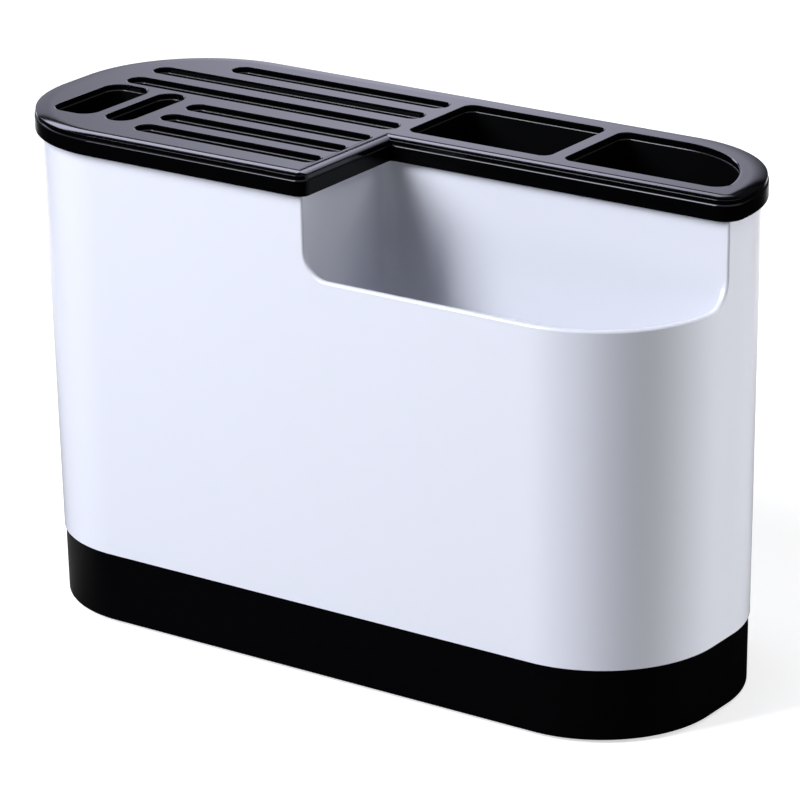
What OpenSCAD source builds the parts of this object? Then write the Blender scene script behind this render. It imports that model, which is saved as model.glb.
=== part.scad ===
// Counter-top knife and chopstick holder.
// A white body with an open front pocket stands in a black drip tray. A black slotted lid
// covers the knife bay and the chopstick liner. Everything lifts off upwards for washing.
// Frame: X runs left to right along the front, Y to the back, Z up. The origin is the
// centre of the footprint, on the surface that the holder stands on.

/* [Body] */
// Length of the body, end to end, at its widest level
body_l = 270; // [250:1:300]
// Depth of the body, front to back, at its widest level
body_w = 105; // [103:1:120]
// Plan radius of the body's four corners
corner_r = 46; // [42:1:48]
// Height of the lid's top above the counter
total_h = 183; // [165:1:200]
// Slope of the outer walls, which narrow downwards so that the body leaves its mould
draft_deg = 0.74; // [0.1:0.02:1]
// Wall thickness of the body
wall_t = 2.4; // [2:0.1:2.8]
// Height of the shoulder inside the body, above the drip tray's rim
shoulder_t = 3; // [2:0.1:5]
// Thickness of the body's lower skirt
skirt_low_t = 1.8; // [1.4:0.1:2.2]
// How far the body's lower skirt reaches down into the tray
skirt_depth = 12; // [8:0.5:16]
// Width of the ledges that carry the drain plates
ledge_w = 4; // [3:0.1:6]
// Thickness of the ledges
ledge_t = 1.8; // [1.4:0.1:2.4]

/* [Front pocket] */
// Height of the pocket's lowered rim above the counter
pocket_rim_z = 146.3; // [110:0.1:155]
// Radius of the two lower corners of the pocket's cut-out
cutout_r = 9; // [4:0.5:14]
// X of the pocket's left inner face
pocket_x = 0.1; // [-3:0.1:3]
// Y of the pocket's rear inner face
pocket_y = -1.5; // [-2.5:0.1:-0.5]
// Plan radius where the pocket's left and rear faces meet
pocket_fillet_r = 6; // [2:0.5:12]

/* [Lid] */
// How far the lid's skirt stands out from the body's wall
lid_over = 2.3; // [2.2:0.1:3]
// Height of the lid's side, from its lower edge to its top
lid_h = 7.8; // [6:0.1:10]
// Thickness of the lid's plate
lid_t = 1.8; // [1.5:0.1:2.2]
// Depth from the lid's top to the ledge that rests on the body's rim
rim_drop = 3; // [2.6:0.1:4]
// Thickness of the lid's skirt
skirt_t = 2; // [1.5:0.1:2]
// Width of the crowned band round the lid's top
crown_w = 6; // [4:0.1:7]
// Drop of the crowned band to the shoulder line
crown_drop = 2; // [1.2:0.1:2.4]
// Width of the fine step at the shoulder line
step_w = 0.4; // [0.2:0.1:0.8]
// Plan radius of the lid's corner beside the pocket, at the front
notch_front_r = 4; // [2:0.5:6]
// Plan radius of the lid's corner beside the pocket, at the right
notch_end_r = 7; // [3:0.5:8]
// Radius of the rounded upper edge of each opening
lip_r = 0.8; // [0.4:0.1:1]

/* [Knife slots] */
// Clear width of a knife slot
slot_w = 8; // [6:0.5:8.5]
// Distance from the notch's left side to the right end of every slot
slot_end_bar = 5.9; // [5.9:0.1:9]
// Distance from the lid's left end to the two long slots
slot_margin = 17.5; // [15:0.1:24]
// Distance from the lid's left end to the rearmost slot
slot_back_margin = 41.4; // [38:0.1:60]
// Distance from the lid's rear edge to the middle of the rearmost slot
slot_rear_in = 15.5; // [15.5:0.1:16.5]
// Spacing of the three rear slots
slot_rear_pitch = 15.2; // [14.5:0.1:15.5]
// Distance from the lid's front edge to the middle of the foremost slot
slot_front_in = 17.7; // [17:0.1:18.5]
// Spacing of the three front slots
slot_front_pitch = 14.5; // [14:0.1:14.8]

/* [Scissors opening and narrow opening] */
// Distance from the lid's left end to the scissors opening
scissors_margin = 16.3; // [15:0.1:20]
// Clear width of the scissors opening
scissors_w = 17.8; // [14:0.1:18]
// Corner radius of the scissors opening
scissors_r = 6; // [3:0.5:6.5]
// Bar between the scissors opening and the narrow opening
side_bar = 5; // [4.5:0.1:7]
// Clear width of the narrow opening
narrow_w = 11.1; // [8:0.1:12]
// Bar between the narrow opening and the front slots
narrow_bar = 6.7; // [5:0.1:10]
// Distance from the lid's front edge to both openings
side_front_in = 19.1; // [18:0.1:26]
// Bar between both openings and the slot behind them
side_rear_bar = 3.3; // [3:0.1:6]

/* [Chopstick and cutlery openings] */
// Bar between the slots and the first opening
cell_left_bar = 5.1; // [5:0.1:7]
// Clear width of the first opening
cell_one_w = 57; // [50:0.5:58]
// Width of the bar between the two openings
cell_bar_w = 6.2; // [5:0.1:8]
// Margin between the openings and the lid's right end
cell_end_margin = 10.2; // [10:0.1:12]
// Margin between the openings and the lid's rear edge
cell_rear_margin = 9.2; // [9:0.1:11]
// Margin between the openings and the lid's notch
cell_front_margin = 11.1; // [10.5:0.1:13]
// Corner radius of the openings
cell_r = 3.5; // [3:0.1:4]

/* [Knife guide] */
// Thickness of the guide's plate
guide_t = 1.6; // [1.2:0.1:2.2]
// Depth of the guide's sleeves below the lid's plate
sleeve_h = 30; // [18:1:45]
// How far the guide's openings stand in under the lid's openings, all round
guide_in = 0.4; // [0.2:0.1:0.6]
// Wall thickness of the sleeves
sleeve_t = 1.2; // [0.9:0.1:1.3]
// Rounding of the sleeves' upper inner edges
sleeve_lip_r = 0.5; // [0.3:0.1:0.6]
// Height of the ribs that tie the sleeves together
tie_h = 10; // [6:1:14]
// Diameter of the pegs under the lid that hold the guide
peg_d = 3; // [2.5:0.1:3]
// Length of the pegs past the guide's plate
peg_out = 1.5; // [0.8:0.1:3]
// Distance from the slots' ends to the pegs
peg_in = 10; // [8:0.5:16]

/* [Chopstick liner] */
// Wall thickness of the liner
liner_t = 1.6; // [1.2:0.1:1.8]
// Thickness of the liner's flange and floor
liner_floor_t = 2; // [1.6:0.1:2.6]
// Width of the liner's flange outside its walls
liner_flange_w = 2; // [1.5:0.1:2.2]
// Inward slope of the liner's walls
liner_draft_deg = 0.75; // [0.7:0.05:0.85]
// Diameter of the liner's drain holes
liner_hole_d = 5; // [3:0.5:6]
// Spacing of the liner's drain holes
liner_hole_pitch = 9; // [8:0.5:12]

/* [Drip tray] */
// Height of the tray's wall
tray_h = 26; // [22:0.5:32]
// Wall thickness of the tray
tray_t = 2; // [1.6:0.1:2.2]
// Thickness of the tray's floor
tray_floor_t = 2.4; // [2.2:0.1:3]
// Set-back of the tray's wall behind the body's wall
tray_inset = 0.5; // [0.2:0.1:0.8]
// Rounding of the tray's lower outer edge
tray_edge_r = 1.5; // [0.8:0.1:1.9]

/* [Drain plates] */
// Thickness of the drain plates
drain_t = 2.4; // [1.8:0.1:3]
// Width of a drain slot
drain_slot_w = 3; // [2:0.1:3.8]
// Length of a drain slot
drain_slot_l = 22; // [14:1:26]
// Bar between two drain slots
drain_bar = 4; // [3:0.1:6]
// Solid margin round the drain slots
drain_margin = 5; // [4:0.5:8]

/* [Feet] */
// Diameter of a foot pad
foot_d = 14; // [10:0.5:18]
// Thickness of a foot pad
foot_t = 2; // [1.6:0.1:2.2]
// How far a foot pad stands out below the tray
foot_proud = 0.8; // [0.5:0.1:1.2]
// Distance of the feet from the ends of the body
foot_in_x = 38; // [30:1:50]
// Distance of the feet from the front and back of the body
foot_in_y = 20; // [18:1:28]

/* [Fits] */
// Clearance between pieces that lift apart
fit_gap = 0.4; // [0.3:0.05:0.5]
// Clearance between the lid's plate and the liner's flange
lid_gap = 0.3; // [0.2:0.05:0.5]
// Clearance round the pegs and the foot pads
snug_gap = 0.1; // [0.05:0.05:0.2]

/* [Hidden] */
$fn = 96;

// Reach of cutting tools past the faces that they cut
over = 1;
// Reach of a block that stands for a half space
far = 200;
// Straight sides shorter than this are left out of a sweep
least = 0.001;

// Levels, from the counter upwards
tray_z = foot_proud;
tray_top_z = tray_z + tray_h;
skirt_z = tray_top_z - skirt_depth;
ledge_z = skirt_z + ledge_t;
drain_z = ledge_z + drain_t;
shell_top_z = total_h - rim_drop;
plate_z = total_h - lid_t;
lid_low_z = total_h - lid_h;
crown_z = total_h - crown_drop;
liner_top_z = plate_z - lid_gap;

// Half sizes of the body and the lid
body_half = [body_l, body_w] / 2;
lid_half = body_half + [lid_over, lid_over];
lid_r = corner_r + lid_over;

// The pocket's walls, and the lid's notch round them
wall_x = pocket_x - wall_t;
wall_y = pocket_y + wall_t;
notch_x = pocket_x + lid_over;
notch_y = pocket_y - lid_over;

// Radius of the crowned band: an arc that starts level and falls to the shoulder line
crown_run = crown_w - step_w;
crown_r = (crown_run * crown_run + crown_drop * crown_drop) / (2 * crown_drop);

// Set-back of the outer wall at a height, from its slope
function draft(z) = (total_h - z) * tan(draft_deg);
// Set-back of the lower skirt's outer face and inner face from the body's outline
function skirt_out(z) = draft(z) + tray_inset + tray_t + fit_gap;
function skirt_in(z) = skirt_out(z) + skirt_low_t;

// Knife slots, as [left end, y]
slot_right_x = notch_x - slot_end_bar;
narrow_left_x = scissors_margin + scissors_w + side_bar - lid_half[0];
front_left_x = narrow_left_x + narrow_w + narrow_bar;
rear_slots = [for (i = [0:2])
    [(i == 0 ? slot_back_margin : slot_margin) - lid_half[0],
     lid_half[1] - slot_rear_in - i * slot_rear_pitch]];
front_slots = [for (i = [2:-1:0])
    [front_left_x, slot_front_in + i * slot_front_pitch - lid_half[1]]];
slots = concat(rear_slots, front_slots);

// Openings that run front to back
side_front_y = side_front_in - lid_half[1];
side_rear_y = rear_slots[2][1] - slot_w / 2 - side_rear_bar;
scissors_left_x = scissors_margin - lid_half[0];

// Openings over the chopstick liner
cell_left_x = slot_right_x + cell_left_bar;
cell_front_y = notch_y + cell_front_margin;
cell_far = lid_half - [cell_end_margin, cell_rear_margin];
cell_two_x = cell_left_x + cell_one_w + cell_bar_w;

// Every opening as [low corner, high corner, radii from the front left corner anticlockwise]
function even(r) = [r, r, r, r];
knife_holes = concat(
    [for (s = slots)
        [[s[0], s[1] - slot_w / 2], [slot_right_x, s[1] + slot_w / 2], even(slot_w / 2)]],
    [[[scissors_left_x, side_front_y], [scissors_left_x + scissors_w, side_rear_y],
      even(scissors_r)],
     [[narrow_left_x, side_front_y], [narrow_left_x + narrow_w, side_rear_y],
      even(narrow_w / 2)]]);
cells = [
    [[cell_left_x, cell_front_y], [cell_left_x + cell_one_w, cell_far[1]], even(cell_r)],
    [[cell_two_x, cell_front_y], cell_far, [cell_r, cell_r, lid_r - cell_end_margin, cell_r]]];

// The same opening, wider all round by d
function grown(h, d) = [h[0] - [d, d], h[1] + [d, d], [for (r = h[2]) r + d]];

// The pegs stand between the first two and the last two slots
peg_places = [for (x = [front_left_x + peg_in, slot_right_x - peg_in], i = [0, 4])
    [x, (slots[i][1] + slots[i + 1][1]) / 2]];

// Plan shapes

// Rectangle h, with its own radius at each corner
module plan(h) {
    a = h[0];
    b = h[1];
    corners = [a, [b[0], a[1]], b, [a[0], b[1]]];
    difference() {
        translate(a) square(b - a);
        for (k = [0:3]) translate(corners[k]) rotate(90 * k) difference() {
            translate([-over, -over]) square(h[2][k] + over);
            translate([h[2][k], h[2][k]]) circle(h[2][k]);
        }
    }
}

// The body's outline, set in all round
module outline(inset) {
    plan(grown([-body_half, body_half, even(corner_r)], -inset));
}

// The outline without the pocket's quarter, whose corner is p
module knife_side(inset, p) {
    difference() {
        outline(inset);
        translate([p[0], p[1] - far]) square(far);
    }
}

// The pocket's quarter of the outline, whose corner is p
module pocket_side(inset, p, r) {
    intersection() {
        outline(inset);
        plan([[p[0], p[1] - far], [p[0] + far, p[1]], [0, 0, 0, r]]);
    }
}

// Swept solids

// Sweeps a profile round rectangle h. The profile's x counts outwards from the outline.
module sweep(h) {
    a = h[0];
    b = h[1];
    r = h[2];
    axes = [a + [r[0], r[0]], [b[0] - r[1], a[1] + r[1]], b - [r[2], r[2]],
            [a[0] + r[3], b[1] - r[3]]];
    for (k = [0:3]) {
        // Corner, then the straight side that runs on from it anticlockwise
        translate(axes[k]) rotate(180 + 90 * k) rotate_extrude(angle = 90)
            translate([r[k], 0]) children();
        next = axes[(k + 1) % 4];
        reach = (k % 2 == 0) ? abs(next[0] - axes[k][0]) : abs(next[1] - axes[k][1]);
        if (reach > least)
            translate(next) rotate(270 + 90 * k) translate([r[(k + 1) % 4], 0, 0])
                rotate([90, 0, 0]) linear_extrude(reach) children();
    }
}

// Sweep round the body's outline
module body_sweep() {
    sweep([-body_half, body_half, even(corner_r)]) children();
}

// Fills the middle that a sweep round the body's outline leaves between its corners
module core(z0, z1) {
    half = body_half - [corner_r, corner_r];
    translate([-half[0], -half[1], z0]) cube([2 * half[0], 2 * half[1], z1 - z0]);
}

// Solid between two levels that follows the sloped wall, set in by inset
module sloped_block(z0, z1, inset) {
    body_sweep() polygon([[-corner_r, z0], [-draft(z0) - inset, z0],
                          [-draft(z1) - inset, z1], [-corner_r, z1]]);
    core(z0, z1);
}

// Edge of the lid seen in section: outer band, fine step, crown. x = 0 is the band's face.
module lid_edge(depth) {
    translate([-depth, lid_low_z]) square([depth, crown_z - lid_low_z]);
    translate([-depth, lid_low_z]) square([depth - crown_w, lid_h]);
    intersection() {
        translate([-crown_w, total_h - crown_r]) circle(crown_r);
        translate([-crown_w - over, lid_low_z]) square([crown_run + over, lid_h]);
    }
}

// The lid's outer form: the swept edge, kept only outside the pocket's quarter
module lid_form() {
    lid_outline = [-lid_half, lid_half, even(lid_r)];
    depth = lid_half[1] + over;
    intersection() {
        union() {
            sweep(lid_outline) lid_edge(lid_r);
            core(lid_low_z, total_h);
        }
        union() {
            // Left part, whose right side is the notch's left side
            intersection() {
                translate([notch_x, far, 0]) rotate([90, 0, 0])
                    linear_extrude(2 * far) lid_edge(far);
                translate([0, 0, lid_low_z]) linear_extrude(lid_h)
                    plan([[-far, -lid_half[1]], [notch_x, far], [0, notch_front_r, 0, 0]]);
            }
            // Rear part, whose front is the notch's rear side
            intersection() {
                translate([-far, notch_y, 0]) rotate([90, 0, 270])
                    mirror([0, 0, 1]) linear_extrude(2 * far) lid_edge(far);
                translate([0, 0, lid_low_z]) linear_extrude(lid_h)
                    plan([[-far, notch_y], [lid_half[0], far], [0, notch_end_r, 0, 0]]);
            }
        }
    }
}

// Cutter for opening h with a rounded edge of radius r at level z
module lipped_hole(h, z, depth, r) {
    translate([0, 0, z - depth - over]) linear_extrude(depth + 2 * over) plan(h);
    sweep(h) difference() {
        translate([-r / 2, z - r]) square([1.5 * r, r + over]);
        translate([r, z - r]) circle(r);
    }
}

// Pieces

// Black cover with its openings, skirt, resting ledge and pegs
module lid() {
    color("#17181b") {
        difference() {
            lid_form();
            // Room for the body's rim, up to the resting ledge
            translate([0, 0, lid_low_z - over]) linear_extrude(shell_top_z - lid_low_z + over)
                knife_side(skirt_t - lid_over, [notch_x - skirt_t, notch_y + skirt_t]);
            // Underside of the plate
            translate([0, 0, lid_low_z - over]) linear_extrude(plate_z - lid_low_z + over)
                knife_side(wall_t + fit_gap, [wall_x - fit_gap, wall_y + fit_gap]);
            for (h = concat(knife_holes, cells)) lipped_hole(h, total_h, lid_t, lip_r);
        }
        for (p = peg_places) translate([p[0], p[1], plate_z - guide_t - peg_out])
            cylinder(h = guide_t + peg_out, d = peg_d);
    }
}

// Black guide under the knife openings: a plate with a sleeve round each opening
module knife_guide() {
    low_z = plate_z - sleeve_h;
    color("#1d1e20") difference() {
        union() {
            translate([0, 0, plate_z - guide_t]) linear_extrude(guide_t) intersection() {
                outline(wall_t + 2 * fit_gap);
                translate([wall_x - fit_gap - far, -far]) square([far - fit_gap, 2 * far]);
            }
            for (h = knife_holes) translate([0, 0, low_z])
                linear_extrude(sleeve_h) plan(grown(h, sleeve_t - guide_in));
            // Ribs across the sleeves
            for (x = [front_left_x + 2 * peg_in, slot_right_x - 2 * peg_in])
                translate([x - sleeve_t / 2, slots[5][1], plate_z - tie_h])
                    cube([sleeve_t, slots[0][1] - slots[5][1], tie_h]);
        }
        for (h = knife_holes) lipped_hole(grown(h, -guide_in), plate_z, sleeve_h, sleeve_lip_r);
        for (p = peg_places) translate([p[0], p[1], plate_z - guide_t - over])
            cylinder(h = guide_t + 2 * over, d = peg_d + 2 * snug_gap);
    }
}

// Black liner: two sloped cups that share a flange, with drain holes in the floors
module chopstick_liner() {
    run = (liner_top_z - drain_z) * tan(liner_draft_deg);
    color("#1d1e20") difference() {
        union() {
            for (h = cells) sweep(grown(h, liner_t))
                polygon([[-run, drain_z], [0, liner_top_z], [-liner_t, liner_top_z],
                         [-run - liner_t, drain_z]]);
            for (h = cells) translate([0, 0, drain_z]) linear_extrude(liner_floor_t)
                plan(grown(h, liner_t / 2 - run));
            translate([0, 0, liner_top_z - liner_floor_t]) linear_extrude(liner_floor_t)
                difference() {
                    flange = liner_t + liner_flange_w;
                    plan(grown([cells[0][0], cells[1][1], cells[1][2]], flange));
                    for (h = cells) plan(grown(h, liner_t / 2));
                }
        }
        for (h = cells, p = drain_holes(h, run)) translate([p[0], p[1], drain_z - over])
            cylinder(h = liner_floor_t + 2 * over, d = liner_hole_d);
    }
}

// Middles of the drain holes in the floor under opening h, whose walls lean in by run.
// Holes that come near the wall of the rounded rear corner are left out.
function drain_holes(h, run) =
    let (mid = (h[0] + h[1]) / 2, r = h[2][2], axis = h[1] - [r, r],
         n = ((h[1] - h[0]) / 2 - [1, 1] * (liner_hole_pitch / 2 + run)) / liner_hole_pitch)
    [for (i = [-floor(n[0]):floor(n[0])], j = [-floor(n[1]):floor(n[1])])
        let (p = mid + [i, j] * liner_hole_pitch, d = p - axis)
        if (min(d[0], d[1]) < 0 || norm(d) < r - run - liner_hole_d) p];

// White body: sloped outer wall with its lower skirt, the pocket's two walls and the ledges
module body_shell() {
    color("#f3f5fa") difference() {
        union() {
            body_sweep() polygon([
                [-draft(tray_top_z), tray_top_z],
                [-draft(shell_top_z), shell_top_z],
                [-draft(shell_top_z) - wall_t, shell_top_z],
                [-draft(tray_top_z + 2 * shoulder_t) - wall_t, tray_top_z + 2 * shoulder_t],
                [-skirt_in(tray_top_z + shoulder_t), tray_top_z + shoulder_t],
                [-skirt_in(skirt_z), skirt_z],
                [-skirt_out(skirt_z), skirt_z],
                [-skirt_out(tray_top_z), tray_top_z]]);
            intersection() {
                union() {
                    sloped_block(tray_top_z, shell_top_z, wall_t / 2);
                    sloped_block(skirt_z, tray_top_z, skirt_out(0) - draft(0) + skirt_low_t / 2);
                }
                union() {
                    translate([0, 0, skirt_z]) linear_extrude(shell_top_z - skirt_z)
                        pocket_walls();
                    // The fillet ends below the lid's skirt
                    translate([0, 0, skirt_z]) linear_extrude(lid_low_z - fit_gap - skirt_z)
                        pocket_fillet();
                }
            }
            translate([0, 0, skirt_z]) linear_extrude(ledge_t) difference() {
                outline(skirt_out(skirt_z) + skirt_low_t / 2);
                knife_side(skirt_in(skirt_z) + ledge_w, [wall_x - ledge_w, wall_y + ledge_w]);
                pocket_side(skirt_in(skirt_z) + ledge_w,
                            [pocket_x + ledge_w, pocket_y - ledge_w], pocket_fillet_r);
            }
        }
        cut_out();
    }
}

// The pocket's left and rear walls in plan
module pocket_walls() {
    translate([wall_x, wall_y - far]) square([wall_t, far]);
    translate([wall_x, pocket_y]) square([far, wall_t]);
}

// The fillet where these walls meet
module pocket_fillet() {
    difference() {
        translate([pocket_x - over, pocket_y - pocket_fillet_r])
            square(pocket_fillet_r + over);
        translate([pocket_x + pocket_fillet_r, pocket_y - pocket_fillet_r])
            circle(pocket_fillet_r);
    }
}

// Lowers the outer wall round the pocket, with a round corner at each end
module cut_out() {
    top = total_h - pocket_rim_z;
    // Front wall
    translate([0, -body_half[1] / 3, 0]) rotate([90, 0, 0]) linear_extrude(far)
        plan([[pocket_x, pocket_rim_z], [pocket_x + far, pocket_rim_z + top],
              [cutout_r, 0, 0, 0]]);
    // Right end wall
    translate([body_half[0] / 3, 0, 0]) rotate([90, 0, 90]) linear_extrude(far)
        plan([[pocket_y - far, pocket_rim_z], [pocket_y, pocket_rim_z + top],
              [0, cutout_r, 0, 0]]);
}

// Slots of a drain plate, kept a margin inside the plan in children()
module drain_slots() {
    pitch = [drain_slot_l + drain_bar, drain_slot_w + drain_bar];
    nx = ceil(body_half[0] / pitch[0]);
    ny = ceil(body_half[1] / pitch[1]);
    intersection() {
        children();
        for (i = [-nx:nx], j = [-ny:ny])
            plan([[i * pitch[0] - drain_slot_l / 2, (j - 0.5) * pitch[1] - drain_slot_w / 2],
                  [i * pitch[0] + drain_slot_l / 2, (j - 0.5) * pitch[1] + drain_slot_w / 2],
                  even(drain_slot_w / 2)]);
    }
}

// Slotted floor of the knife bay, under the liner too
module knife_bay_drain() {
    inset = skirt_in(ledge_z) + fit_gap;
    color("#e9ebf0") translate([0, 0, ledge_z]) linear_extrude(drain_t) difference() {
        knife_side(inset, [wall_x - fit_gap, wall_y + fit_gap]);
        drain_slots() knife_side(inset + drain_margin,
            [wall_x - fit_gap - drain_margin, wall_y + fit_gap + drain_margin]);
    }
}

// Slotted floor of the front pocket
module pocket_drain() {
    inset = skirt_in(ledge_z) + fit_gap;
    color("#e9ebf0") translate([0, 0, ledge_z]) linear_extrude(drain_t) difference() {
        pocket_side(inset, [pocket_x + fit_gap, pocket_y - fit_gap], pocket_fillet_r);
        drain_slots() pocket_side(inset + drain_margin,
            [pocket_x + fit_gap + drain_margin, pocket_y - fit_gap - drain_margin], 0);
    }
}

// Black tray that catches the water, with a recess for each foot pad
module drip_tray() {
    face_z = tray_z + tray_edge_r;
    face = draft(face_z) + tray_inset;
    color("#101113") difference() {
        union() {
            body_sweep() {
                // Wall, its foot, and the round between them and the floor
                polygon([[-face, face_z], [-draft(tray_top_z) - tray_inset, tray_top_z],
                         [-draft(tray_top_z) - tray_inset - tray_t, tray_top_z],
                         [-face - tray_t, face_z]]);
                translate([-face - tray_t, tray_z]) square([tray_t - tray_edge_r, tray_edge_r]);
                translate([-face - tray_edge_r, face_z]) intersection() {
                    circle(tray_edge_r);
                    translate([0, -tray_edge_r]) square(tray_edge_r);
                }
            }
            translate([0, 0, tray_z]) linear_extrude(tray_floor_t)
                outline(face + tray_edge_r);
        }
        for (x = [-1, 1], y = [-1, 1]) translate(foot_place(x, y))
            translate([0, 0, -over]) cylinder(h = foot_t + over, d = foot_d + 2 * snug_gap);
    }
}

// Middle of a foot pad's lower face, for a side of +1 or -1 along x and y
function foot_place(x, y) = [x * (body_half[0] - foot_in_x), y * (body_half[1] - foot_in_y), 0];

// Rubber foot pad
module foot(x, y) {
    color("#2a2b2d") translate(foot_place(x, y)) cylinder(h = foot_t, d = foot_d);
}

lid();
knife_guide();
chopstick_liner();
body_shell();
knife_bay_drain();
pocket_drain();
drip_tray();
foot(-1, -1);  // foot_front_left
foot(1, -1);  // foot_front_right
foot(-1, 1);  // foot_rear_left
foot(1, 1);  // foot_rear_right
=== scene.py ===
import math

import bpy
from mathutils import Matrix, Vector
from mathutils.geometry import tessellate_polygon


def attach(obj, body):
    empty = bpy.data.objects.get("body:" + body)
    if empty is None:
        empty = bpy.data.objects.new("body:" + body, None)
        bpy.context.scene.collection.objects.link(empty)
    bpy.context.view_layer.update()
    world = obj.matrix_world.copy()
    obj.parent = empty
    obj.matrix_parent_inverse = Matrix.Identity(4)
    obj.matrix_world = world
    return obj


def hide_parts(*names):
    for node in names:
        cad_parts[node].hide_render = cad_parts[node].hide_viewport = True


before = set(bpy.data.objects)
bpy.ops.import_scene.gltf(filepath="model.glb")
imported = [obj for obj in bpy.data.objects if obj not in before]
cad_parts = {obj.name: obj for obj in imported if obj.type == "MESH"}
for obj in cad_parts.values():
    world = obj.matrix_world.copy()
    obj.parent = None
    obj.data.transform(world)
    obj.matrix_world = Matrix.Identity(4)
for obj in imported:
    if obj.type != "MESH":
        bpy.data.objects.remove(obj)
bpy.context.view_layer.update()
bpy.context.scene.view_settings.view_transform = "Standard"

MM = 0.001

# The maker's sizes in millimetres, the same values that the CAD part is drawn to
TOTAL_H = 183.0
BODY_HALF = (135.0, 52.5)
CORNER_R = 46.0
DRAFT = math.tan(math.radians(0.74))
WALL = 2.4
LID_HALF = (137.3, 54.8)
LID_R = 48.3
POCKET_X, POCKET_Y = 0.1, -1.5
WALL_X, WALL_Y = POCKET_X - WALL, POCKET_Y + WALL
NOTCH_GAP = 2.3
NOTCH_X, NOTCH_Y = POCKET_X + NOTCH_GAP, POCKET_Y - NOTCH_GAP
POCKET_FILLET = 6.0
RIM_Z = 146.3
CUTOUT_R = 9.0
SHELL_TOP = 180.0
PLATE_Z = 181.2
LID_LOW = 175.2
TRAY_Z, TRAY_TOP = 0.8, 26.8
SKIRT_Z, LEDGE_Z, DRAIN_Z = 14.8, 16.6, 19.0
LINER_TOP = 180.9
# The round in the pocket's rear corner ends just below the lid
FILLET_TOP = LID_LOW - 0.4
# The body's foot is thicker than its wall, and set back to stand in the tray. Inside it the
# drain plates lie on a ledge, and a short slope leads from its thickness to the wall's
FOOT_WALL, FOOT_SETBACK, LEDGE = 4.7, 2.9, 4.0
SLOPE_LOW, SLOPE_TOP = TRAY_TOP + 3.0, TRAY_TOP + 6.0
# Points of a ring that are closer than this, in millimetres, are one point
SAME_PLACE = 1e-6


# ---------------------------------------------------------------- camera

def make_camera():
    """Puts the camera where the photograph was taken from."""
    azimuth, elevation, roll = (math.radians(v) for v in (35.109, 19.936, -0.884))
    stand = (0.823900, -1.168989, 0.605693)
    back = Vector((math.sin(azimuth) * math.cos(elevation),
                   -math.cos(azimuth) * math.cos(elevation), math.sin(elevation)))
    right = Vector((math.cos(azimuth), math.sin(azimuth), 0.0))
    up = back.cross(right)
    side = math.cos(roll) * right + math.sin(roll) * up
    top = -math.sin(roll) * right + math.cos(roll) * up
    data = bpy.data.cameras.new("camera")
    data.sensor_width = 36.0
    data.lens = 196.59
    data.clip_start, data.clip_end = 0.05, 20.0
    camera = bpy.data.objects.new("camera", data)
    camera.matrix_world = Matrix((
        (side.x, top.x, back.x, stand[0]),
        (side.y, top.y, back.y, stand[1]),
        (side.z, top.z, back.z, stand[2]),
        (0.0, 0.0, 0.0, 1.0)))
    bpy.context.scene.collection.objects.link(camera)
    bpy.context.scene.camera = camera


make_camera()


# ---------------------------------------------------------------- material helpers

def new_material(name):
    """Empty node material with its output node."""
    material = bpy.data.materials.new(name)
    material.use_nodes = True
    tree = material.node_tree
    tree.nodes.clear()
    output = tree.nodes.new("ShaderNodeOutputMaterial")
    return material, tree, output


def reckon(tree, operation, first, second=None, third=None):
    """Result of a math node on one to three sockets or plain numbers."""
    node = tree.nodes.new("ShaderNodeMath")
    node.operation = operation
    for place, value in enumerate((first, second, third)):
        if isinstance(value, (int, float)):
            node.inputs[place].default_value = value
        elif value is not None:
            tree.links.new(value, node.inputs[place])
    return node.outputs[0]


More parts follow.
